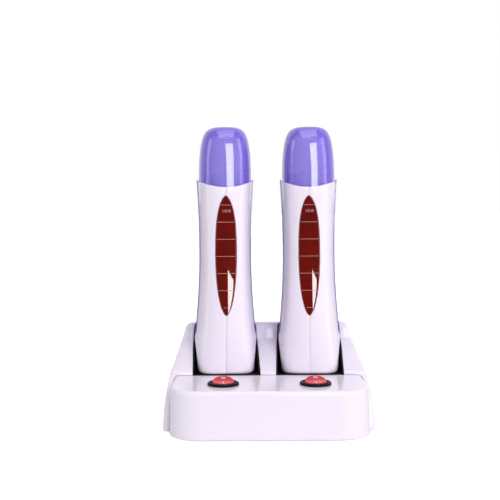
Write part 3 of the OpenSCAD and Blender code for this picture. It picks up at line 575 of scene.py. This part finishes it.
def loft(bm, rings):
    """Closed solid through rings of equal length."""
    loops = [[bm.verts.new(p) for p in ring] for ring in rings]
    chains = [[bm.edges.new((a, b)) for a, b in zip(loop, loop[1:] + loop[:1])] for loop in loops]
    for low, high in zip(chains, chains[1:]):
        bmesh.ops.bridge_loops(bm, edges=low + high)
    for chain in (chains[0], chains[-1]):
        bmesh.ops.contextual_create(bm, geom=chain)
    bmesh.ops.recalc_face_normals(bm, faces=bm.faces)


class Build:
    """What the operators that build a piece share."""
    bl_options = {"REGISTER", "UNDO"}

    def execute(self, context):
        self.build(Handset())
        return {"FINISHED"}


class WARMER_OT_shells(Build, bpy.types.Operator):
    """Build the white half shells with the window's opening and the seam between them"""
    bl_idname = "warmer.shells"
    bl_label = "Half shells"

    def build(self, h):
        for name, side in SIDES:
            for half, way in (("outer", side), ("inner", -side)):
                bm = bmesh.new()
                self.front(bm, h)
                self.boot(bm, h)
                tidy(bm)
                if way < 0:
                    bmesh.ops.transform(bm, matrix=Matrix.Scale(-1, 4, (1, 0, 0)), verts=bm.verts)
                    bmesh.ops.reverse_faces(bm, faces=bm.faces)
                piece(f"{name}_white_shell_{half}", bm, "white_plastic", f"{name}_handset",
                      [f"{name}_shell_{half}"], thickness=h.wall, bevel=0.22, at=h.docked(side))

    def front(self, bm, h):
        """From the seam, or the window's edge, round to the line where the door starts."""
        levels = (h.levels_below(h.window_low)
                  + [h.window_mid - h.window_half * math.cos(math.pi * i / 36)
                     for i in range(1, 37)]
                  + [h.window_high + (h.rim - h.window_high) * i / 5 for i in range(1, 6)])
        height = ladder(levels)

        def place(u, v):
            z = height(v)
            start = h.angle_at_x(max(SEAM, h.window_x(z)), z, h.door_proud)
            end = h.angle_at_y(h.parting, z)
            return h.skin(z, start + (end - start) * u, h.door_proud)
        sheet(bm, 22, len(levels) - 1, place)

    def boot(self, bm, h):
        """Back of the foot, below the door."""
        levels = h.levels_below(h.door_line)
        height = ladder(levels)

        def place(u, v):
            z = height(v)
            start = h.angle_at_y(h.parting, z)
            p = h.skin(z, start + (90 - start) * u, h.door_proud)
            return Vector((max(SEAM, p.x), p.y, p.z))
        sheet(bm, 24, len(levels) - 1, place)


class WARMER_OT_windows(Build, bpy.types.Operator):
    """Build the almond level windows with their level lines and figures"""
    bl_idname = "warmer.windows"
    bl_label = "Level windows"

    def build(self, h):
        def place(u, v):
            z = h.window_mid - (h.window_half - 0.02) * math.cos(math.pi * v)
            return h.pane((2 * u - 1) * h.window_x(z) * 0.985, z)

        for name, side in SIDES:
            bm = bmesh.new()
            sheet(bm, 22, 60, place)
            tidy(bm, 0.01)
            rim = [e for e in bm.edges if e.is_boundary]
            skirt = bmesh.ops.extrude_edge_only(bm, edges=rim)["geom"]
            bmesh.ops.translate(bm, verts=[v for v in skirt if isinstance(v, bmesh.types.BMVert)],
                                vec=(0, 1.9, 0))
            bmesh.ops.recalc_face_normals(bm, faces=bm.faces)
            if sum(f.normal.y * f.calc_area() for f in bm.faces) > 0:
                bmesh.ops.reverse_faces(bm, faces=bm.faces)
            for i in range(LEVEL_LINES):
                z = h.unfallen(LOWEST_LINE + LINE_GAP * i)
                share = 0.86 if i else 0.5      # the lowest is a short mark
                self.line(bm, h, z, h.window_x(z) * share)
            self.figures(bm, h, h.unfallen(FIGURE_HEIGHT))
            piece(f"{name}_level_window", bm, "window_red", f"{name}_handset", [f"{name}_window"],
                  at=h.docked(side), extra=("level_mark",), sharp=50)

    def line(self, bm, h, z, width):
        """Level line, whose middle stands out a little."""
        def place(u, v):
            p = h.pane((2 * u - 1) * width, z, 0.06 * (1 - abs(2 * v - 1)))
            p.z += (v - 0.5) * 0.34
            return p
        sheet(bm, 16, 2, place, material=1)

    def figures(self, bm, h, z):
        """The figures 100, as thin raised strokes."""
        for x in (-0.1, 2.6):
            ring = []
            for radius in (1, 0.62):
                made = bmesh.ops.create_circle(bm, segments=20, radius=1)["verts"]
                bmesh.ops.scale(bm, verts=made, vec=(1.0 * radius, 1.45 * radius, 1))
                ring.append((made, list({e for v in made for e in v.link_edges})))
            faces = bmesh.ops.bridge_loops(bm, edges=ring[0][1] + ring[1][1])["faces"]
            for f in faces:
                f.material_index = 1
            self.lay(h, [v for made, _ in ring for v in made], x, z)
        made = bmesh.ops.create_grid(bm, x_segments=1, y_segments=4, size=1)["verts"]
        bmesh.ops.scale(bm, verts=made, vec=(0.2, 1.45, 1))
        for f in {f for v in made for f in v.link_faces}:
            f.material_index = 1
        self.lay(h, made, -2.2, z)

    def lay(self, h, verts, x, z):
        """Lays flat strokes on the pane's face."""
        for v in verts:
            v.co = h.pane(v.co.x + x, v.co.y + z, 0.05)


class WARMER_OT_doors(Build, bpy.types.Operator):
    """Build the clear violet rear doors with their hinge barrels"""
    bl_idname = "warmer.doors"
    bl_label = "Rear doors"

    def build(self, h):
        hinge_in = 3.1
        hinge_y, hinge_z = h.shoulder_d - hinge_in, h.shoulder + hinge_in
        low = h.door_line + 0.6
        levels = [low + (h.rim + 1.7 - low) * i / 44 for i in range(45)]
        height = ladder(levels)
        for name, side in SIDES:
            bm = bmesh.new()

            def place(u, v):
                z = height(v)
                start = h.angle_at_y(h.parting + 0.3, z)
                return h.skin(z, start + (180 - 2 * start) * u)
            sheet(bm, 64, len(levels) - 1, place)
            bmesh.ops.recalc_face_normals(bm, faces=bm.faces)
            if sum(f.normal.y * f.calc_area() for f in bm.faces) < 0:
                bmesh.ops.reverse_faces(bm, faces=bm.faces)
            bmesh.ops.solidify(bm, geom=bm.faces[:], thickness=h.door_wall)
            bmesh.ops.recalc_face_normals(bm, faces=bm.faces)
            rims = [e for e in bm.edges if len(e.link_faces) == 2 and e.calc_face_angle() > 0.9]
            bmesh.ops.bevel(bm, geom=rims, offset=0.25, segments=2, profile=0.5, affect="EDGES",
                            material=-1)
            self.barrel(bm, hinge_y, hinge_z)
            piece(f"{name}_clear_door", bm, "purple_clear", f"{name}_door", [f"{name}_door"],
                  at=h.docked(side))

    def barrel(self, bm, y, z):
        """Sleeve round the hinge pin, turned upright and then laid across."""
        half, radius, bore = 10.0, 2.9, 1.05
        profile = [(bore, -half), (radius - 0.3, -half), (radius, -half + 0.3),
                   (radius, half - 0.3), (radius - 0.3, half), (bore, half), (bore, -half)]
        faces = turned(bm, profile, 32)
        verts = list({v for f in faces for v in f.verts})
        bmesh.ops.rotate(bm, verts=verts, cent=(0, 0, 0), matrix=ACROSS)
        bmesh.ops.translate(bm, verts=verts, vec=(0, y, z))
        bmesh.ops.recalc_face_normals(bm, faces=faces)


class WARMER_OT_caps(Build, bpy.types.Operator):
    """Build the clear violet caps: a dome with a skirt that drops inside the rim"""
    bl_idname = "warmer.caps"
    bl_label = "Caps"

    def build(self, h):
        side_in, front_in, skirt_in, gap, skirt = 0.85, 1.0, 0.8, 0.15, 8.1
        half_w = h.rim_w - h.door_proud - side_in
        half_d = h.waist_d - front_in
        seat, rise, low = h.rim + gap, h.cap_rise - gap, h.rim - skirt

        def dome(wall):
            """Rings of (inset, height, scale, share of the dip) from the seat to the crown."""
            out = []
            for i, a in enumerate(quarter(40)):
                t = math.sin(a) ** (2 / SECTION_POWER)
                scale = math.cos(a) ** 0.349 if i < 40 else 0.0
                out.append((wall, seat + (rise - wall) * t, scale, 1 - ease(0, 0.55, t)))
            return out
        outside = [(skirt_in, low, 1, 0), (skirt_in, low + 4, 1, 0.4),
                   (skirt_in, seat - 0.02, 1, 1)] + dome(0)
        inside = [(h.cap_wall, low, 1, 0), (h.cap_wall, low + 4, 1, 0.4)] + dome(h.cap_wall)
        for name, side in SIDES:
            bm = bmesh.new()
            for rows in (outside, inside):
                def place(u, v, rows=rows):
                    inset, z, k, share = rows[round(v * (len(rows) - 1))]
                    inset *= min(1, k * 4)
                    x, y = super_point(half_w * k - inset, half_d * k - inset, 360 * u)
                    return Vector((x, y, z - share * h.fall(h.rim, x, y)))
                sheet(bm, 96, len(rows) - 1, place)
            bmesh.ops.remove_doubles(bm, verts=bm.verts, dist=0.003)
            foot = [e for e in bm.edges if e.is_boundary and e.verts[0].co.z < low + 0.1]
            bmesh.ops.bridge_loops(bm, edges=foot)
            tidy(bm, 0.003)
            piece(f"{name}_clear_cap", bm, "purple_clear", f"{name}_cap", [f"{name}_cap"],
                  at=h.docked(side), sharp=50)


class WARMER_OT_deck(Build, bpy.types.Operator):
    """Build the front box with its rounded switch deck"""
    bl_idname = "warmer.deck"
    bl_label = "Front box"

    def build(self, h):
        bm = bmesh.new()
        loft(bm, box_rings(h, 0))
        top = max(bm.faces, key=lambda f: f.calc_center_median().z)
        bmesh.ops.inset_region(bm, faces=[top], thickness=0.5)
        inner = bmesh.new()
        loft(inner, box_rings(h, -HOUSING_WALL, floor=0.4))
        cuts = [cutter(inner)]
        for _, side in SIDES:
            hole = bmesh.new()
            made = bmesh.ops.create_cone(hole, cap_ends=True, segments=64, radius1=PANEL_HOLE_R,
                                         radius2=PANEL_HOLE_R, depth=20)["verts"]
            bmesh.ops.translate(hole, verts=made,
                                vec=(side * h.switch_pitch / 2, h.switch_y, h.deck))
            cuts.append(cutter(hole))
        piece("front_box", bm, "white_plastic", "base", ["deck_housing"], cuts=cuts, sharp=30)


def box_rings(h, grow, floor=1.0):
    """Rings of the front box, grown by a distance, from its foot to its rounded top edge."""
    corner, draft, r = 24, 0.9, DECK_ROUND
    profile = [(floor, 0 - grow), (h.deck * 0.5, 0.5 - grow),
               (h.deck - r - 0.2 + grow, draft - grow)]
    profile += [(h.deck + grow - r + r * math.sin(a), draft - grow + r * (1 - math.cos(a)))
                for a in quarter(9)]
    rings = []
    for z, inset in profile:
        r, x = corner - inset, h.box_w - inset
        y0, y1 = h.front_y + inset, h.step_y + grow
        right = [(x - r + r * math.sin(a), y0 + r - r * math.cos(a), z) for a in quarter(14)]
        right.append((x, y1, z))
        rings.append(right + [(-px, py, pz) for px, py, pz in reversed(right)])
    return rings


class WARMER_OT_saddle(Build, bpy.types.Operator):
    """Build the rear housing: wings, sloping saddle, two bays and the back wall"""
    bl_idname = "warmer.saddle"
    bl_label = "Rear housing"

    def build(self, h):
        bm = bmesh.new()
        r, slope = CROWN_ROUND, SLOPE_TOP - h.step
        heights = ([1 + (h.deck - 1) * (1 - (1 - i / 14) ** 1.5) for i in range(15)]
                   + [h.deck + LIP * t for t in (0.3, 0.6, 0.8, 0.93)]
                   + [h.step + slope * t for t in (0.0, 0.02, 0.06, 0.13)]
                   + [h.step + slope * i / 8 for i in range(2, 9)]
                   + [SLOPE_TOP + (h.back - r - SLOPE_TOP) * i / 4 for i in range(1, 5)])
        crown = [(h.back - r + r * math.sin(a), r * (1 - math.cos(a))) for a in quarter(8)[1:]]
        loft(bm, [self.ring(h, z, 0) for z in heights] + [self.ring(h, z, i) for z, i in crown])
        inner = bmesh.new()
        roof = 1 - 1.76 / SLOPE_TOP
        loft(inner, [[(x, y, 0.4 if z <= 1 else z * roof)
                      for x, y, z in self.ring(h, z, HOUSING_WALL)]
                     for z in heights if z < h.back - 4])
        front = bmesh.new()
        loft(front, box_rings(h, 0.2))
        cuts = [cutter(inner), cutter(front)]
        side_gap, rear_gap, bay_floor, bay_top, reach = 1.4, 1.6, -2.5, 77, 40
        # The bays open onto black liners, which are partly painted shade for the deep gaps beside
        # each foot.
        for _, side in SIDES:
            bay = bmesh.new()
            half_w, half_d = h.shoulder_w + side_gap, h.shoulder_d + rear_gap
            plan = [super_point(half_w, half_d, 180 * i / 36, 3) for i in range(37)]
            plan += [(-half_w, -2 * half_d), (half_w, -2 * half_d)]
            loft(bay, [[(x, y, z) for x, y in plan] for z in (bay_floor, bay_top)])
            bay.transform(h.docked(side))
            cuts.append(cutter(bay))
            notch = bmesh.new()
            block(notch, (42, reach, reach),
                  (side * h.pitch / 2, h.dock_y + reach, NOTCH_FLOOR + reach / 2))
            cuts.append(cutter(notch))
        socket = bmesh.new()
        wide, tall, height = 21.3, 11.3, 19
        block(socket, (wide, 30, tall), (0, h.rear_y, height))
        cuts.append(cutter(socket))
        piece("rear_housing", bm, "white_plastic", "base", ["saddle_housing"], cuts=cuts, bevel=0.3,
              bevel_angle=50, sharp=32)

    def ring(self, h, z, inset):
        """Section of the housing at a height: wings below, then the slope, then the back wall."""
        wing_in, wing_reach, lip_depth, slope_depth, wall_depth = 3.4, 35, 2, 44, 5
        front_round, rear_round, rear_draft = 3.5, 12, 3
        low, top = h.wing_w - wing_in, h.top_w + 3      # the rounded crown takes off what top adds
        if z < h.step:
            half = h.wing_w - wing_in * (z / h.step) ** 2
        else:
            half = low - (low - top) * ((z - h.step) / (h.back - h.step)) ** 0.9
        if z <= h.deck:
            y0 = h.step_y - wing_reach * math.sqrt(max(0, 1 - (z / h.deck) ** 1.6))
        elif z < h.step:
            y0 = h.step_y + lip_depth * ((z - h.deck) / LIP) ** 3
        elif z < SLOPE_TOP:
            y0 = h.step_y + lip_depth + slope_depth * (z - h.step) / (SLOPE_TOP - h.step)
        else:
            y0 = (h.step_y + lip_depth + slope_depth
                  + wall_depth * (z - SLOPE_TOP) / (h.back - SLOPE_TOP))
        x, y0 = half - inset, y0 + inset
        y1 = h.rear_y - inset - rear_draft * (z / h.back) ** 2
        r0 = max(0.6, min(front_round, (y1 - y0) / 2 - 0.2))
        r1 = max(0.8, min(rear_round, (y1 - y0) / 2 - 0.1))
        right = [(x - r0 + r0 * math.sin(a), y0 + r0 - r0 * math.cos(a), z) for a in quarter(6)]
        right += [(x - r1 + r1 * math.cos(a), y1 - r1 + r1 * math.sin(a), z) for a in quarter(12)]
        return right + [(-px, py, pz) for px, py, pz in reversed(right)]


class WARMER_OT_switches(Build, bpy.types.Operator):
    """Build the round switch bodies with their bezels, and the red rockers with O and I and a
    painted glow
    """
    bl_idname = "warmer.switches"
    bl_label = "Switches"

    def build(self, h):
        for name, side in SIDES:
            centre = (side * h.switch_pitch / 2, h.switch_y, 0)
            deck, top, barrel, mouth, r = h.deck + 0.05, 2.2, 9.95, 8.95, 1.3
            bm = bmesh.new()
            profile = [(0, -16), (barrel, -16), (barrel, 0), (BEZEL_R - 0.2, 0), (BEZEL_R, 0.2)]
            profile += [(BEZEL_R - r + r * math.cos(a), top - r + r * math.sin(a))
                        for a in quarter(6)]
            profile += [(mouth + 0.5, top), (mouth + 0.2, top - 0.15), (mouth, top - 0.5),
                        (mouth, -7), (0, -7)]
            turned(bm, [(radius, deck + z) for radius, z in profile], 72, centre)
            tidy(bm)
            piece(f"{name}_switch_bezel", bm, "black_plastic", "base", [f"{name}_switch_body"],
                  sharp=40)
            self.rocker(h, name, centre)

    def rocker(self, h, name, centre):
        """Dished paddle on a keel with two pivot pins, marked O at the rear and I at the front."""
        bm = bmesh.new()
        r, crest, edge, mark_y = ROCKER_R, 3.7, 0.7, 4.5
        rings = [(0, crest)] + [(r * t, crest) for t in (0.2, 0.4, 0.6, 0.75, 0.87)]
        rings += [(r - edge + edge * math.sin(a), crest - edge * (1 - math.cos(a)))
                  for a in quarter(5)]
        rings += [(r, 0.9), (5.0, -1.6), (3.0, -3.6), (0, -4.4)]
        turned(bm, rings, 64)
        tidy(bm)

        def rise(y):
            """Rise of the paddle from its middle towards its two ends."""
            return (abs(y) / r) ** 1.35
        for v in bm.verts:
            if v.co.z > 2:
                v.co.z += rise(v.co.y)
        bmesh.ops.recalc_face_normals(bm, faces=bm.faces)
        loop = [(1.35 + 0.26 * math.cos(math.tau * i / 10), 0.2 * math.sin(math.tau * i / 10))
                for i in range(11)]
        rear, front = mark_y - 0.1, -mark_y - 0.1
        faces = turned(bm, loop, 32, (0, rear, crest + 0.15 + rise(rear)), material=1)
        bmesh.ops.recalc_face_normals(bm, faces=faces)
        block(bm, (0.55, 2.6, 0.34), (0, front, crest + rise(front)), material=1)
        for way in (-1, 1):
            pin = bmesh.ops.create_cone(bm, cap_ends=True, segments=24, radius1=1.2, radius2=1.2,
                                        depth=1.6)["verts"]
            bmesh.ops.rotate(bm, verts=pin, cent=(0, 0, 0), matrix=ACROSS)
            bmesh.ops.translate(bm, verts=pin, vec=(way * 8.7, 0, 0))
        at = (Matrix.Translation((centre[0], centre[1], h.deck - 0.6))
              @ Matrix.Rotation(h.tilt, 4, "X"))
        piece(f"{name}_red_rocker", bm, "rocker_red", f"{name}_rocker", [f"{name}_rocker"], at=at,
              extra=("white_mark",), sharp=45)


class WARMER_OT_finish_nodes(bpy.types.Operator):
    """Give every carried-over solid the finish that its slot names"""
    bl_idname = "warmer.finish_nodes"
    bl_label = "Finish the plain solids"

    def execute(self, context):
        slots = {s["node"]: s["material_slot"] for s in frame["record"]["subparts"]}
        for name, obj in frame["nodes"].items():
            material = finishes()[slots[name]]
            if not obj.material_slots:
                obj.data.materials.append(material)
            for slot in obj.material_slots:
                slot.material = material
        return {"FINISHED"}


class WARMER_OT_stage(bpy.types.Operator):
    """Build the pale floor, the white surroundings, the soft lights and the camera"""
    bl_idname = "warmer.stage"
    bl_label = "Stage"

    def execute(self, context):
        scene = context.scene
        scene.view_settings.view_transform = "Standard"
        self.surroundings(scene)
        self.floor(scene)
        for lamp in SOFTBOXES:
            self.softbox(scene, *lamp)
        self.camera(scene)
        return {"FINISHED"}

    def surroundings(self, scene):
        """White to the camera; soft and plain as light; dark behind the camera where mirrored."""
        world = bpy.data.worlds.new("white_studio")
        world.use_nodes = True
        scene.world = world
        tree = world.node_tree
        tree.nodes.clear()
        path = tree.nodes.new("ShaderNodeLightPath")
        way = tree.nodes.new("ShaderNodeSeparateXYZ")
        tree.links.new(tree.nodes.new("ShaderNodeTexCoord").outputs["Generated"], way.inputs[0])
        behind = tree.nodes.new("ShaderNodeMapRange")
        for key, value in (("From Min", 0.1), ("From Max", 0.9), ("To Min", 0.03), ("To Max", 1.0)):
            behind.inputs[key].default_value = value
        tree.links.new(way.outputs["Y"], behind.inputs["Value"])
        mirrored = Sock(tree, path.outputs["Is Glossy Ray"])
        plain = WORLD_LEVEL * (1 - mirrored) + mirrored * Sock(tree, behind.outputs["Result"])
        seen = (Sock(tree, path.outputs["Is Camera Ray"])
                + Sock(tree, path.outputs["Is Transmission Ray"]))
        level = plain * (1 - seen) + seen
        light = tree.nodes.new("ShaderNodeBackground")
        tree.links.new(level.out, light.inputs["Strength"])
        light.inputs["Color"].default_value = (1, 1, 1, 1)
        out = tree.nodes.new("ShaderNodeOutputWorld")
        tree.links.new(light.outputs[0], out.inputs["Surface"])

    def floor(self, scene):
        """Pale floor that keeps the shadow and fades to white with distance."""
        bm = bmesh.new()
        bmesh.ops.create_grid(bm, x_segments=8, y_segments=8, size=6)
        mesh = bpy.data.meshes.new("floor")
        bm.to_mesh(mesh)
        bm.free()
        obj = bpy.data.objects.new("floor", mesh)
        scene.collection.objects.link(obj)
        f = Finish("floor_white", Base_Color=(0.86, 0.86, 0.87), Roughness=0.6,
                   Specular_IOR_Level=0.1)
        path = f.tree.nodes.new("ShaderNodeLightPath")
        far = f.add("VectorMath", {"operation": "LENGTH"}, output=1, i0=f.place())
        lift = f.add("MapRange", Value=far, i1=0.2, i2=1.4, i3=0.56, i4=0.95)
        lift = Sock(f.tree, path.outputs["Is Camera Ray"]) * lift
        f.feed(Emission_Color=f.blend(lift, (0, 0, 0), (1, 1, 1)), Emission_Strength=1.0)
        mesh.materials.append(f.material)

    def softbox(self, scene, name, around, up, distance, size, level):
        """Area light at an angle from the camera's side, whose face glows at the given level."""
        a, e = math.radians(around), math.radians(up)
        way = Vector((math.sin(a) * math.cos(e), -math.cos(a) * math.cos(e), math.sin(e)))
        data = bpy.data.lights.new(name, "AREA")
        data.shape, data.size, data.size_y = "RECTANGLE", *size
        data.energy = level * math.pi * size[0] * size[1]
        lamp = bpy.data.objects.new(name, data)
        lamp.location = Vector(LAMP_AIM) + way * distance
        lamp.rotation_euler = way.to_track_quat("Z", "Y").to_euler()
        scene.collection.objects.link(lamp)

    def camera(self, scene):
        data = bpy.data.cameras.new("photo_camera")
        data.sensor_width, data.lens = 36, 72
        data.clip_start, data.clip_end = 0.05, 50
        yaw, pitch, roll = (math.radians(v) for v in CAMERA_TURN)
        ahead = Vector((math.sin(yaw) * math.cos(pitch), math.cos(yaw) * math.cos(pitch),
                        -math.sin(pitch)))
        right = Vector((math.cos(yaw), -math.sin(yaw), 0))
        up = right.cross(ahead)
        right, up = (right * math.cos(roll) + up * math.sin(roll),
                     up * math.cos(roll) - right * math.sin(roll))
        camera = bpy.data.objects.new("photo_camera", data)
        turn = Matrix((right, up, -ahead)).transposed().to_4x4()
        camera.matrix_world = Matrix.Translation(CAMERA_PLACE) @ turn
        scene.collection.objects.link(camera)
        scene.camera = camera


class WARMER_PT_panel(bpy.types.Panel):
    """Lists the warmer's pieces, sizes and colours"""
    bl_label = "Wax warmer"
    bl_space_type = "VIEW_3D"
    bl_region_type = "UI"
    bl_category = "Warmer"

    def draw(self, context):
        column = self.layout.column()
        for operator in OPERATORS:
            column.operator(operator.bl_idname)
        for group in (context.scene.warmer_sizes, context.scene.warmer_colours):
            for key in group.__annotations__:
                column.prop(group, key)


OPERATORS = (WARMER_OT_finish_nodes, WARMER_OT_shells, WARMER_OT_windows, WARMER_OT_doors,
             WARMER_OT_caps, WARMER_OT_deck, WARMER_OT_saddle, WARMER_OT_switches, WARMER_OT_stage)
CLASSES = (WarmerSizes, WarmerColours, *OPERATORS, WARMER_PT_panel)


def register():
    for cls in CLASSES:
        bpy.utils.register_class(cls)
    bpy.types.Scene.warmer_sizes = PointerProperty(type=WarmerSizes)
    bpy.types.Scene.warmer_colours = PointerProperty(type=WarmerColours)


def unregister():
    del bpy.types.Scene.warmer_colours
    del bpy.types.Scene.warmer_sizes
    for cls in reversed(CLASSES):
        bpy.utils.unregister_class(cls)


def main():
    register()
    for operator in OPERATORS:
        group, name = operator.bl_idname.split(".")
        getattr(getattr(bpy.ops, group), name)()


if __name__ == "__main__":
    main()
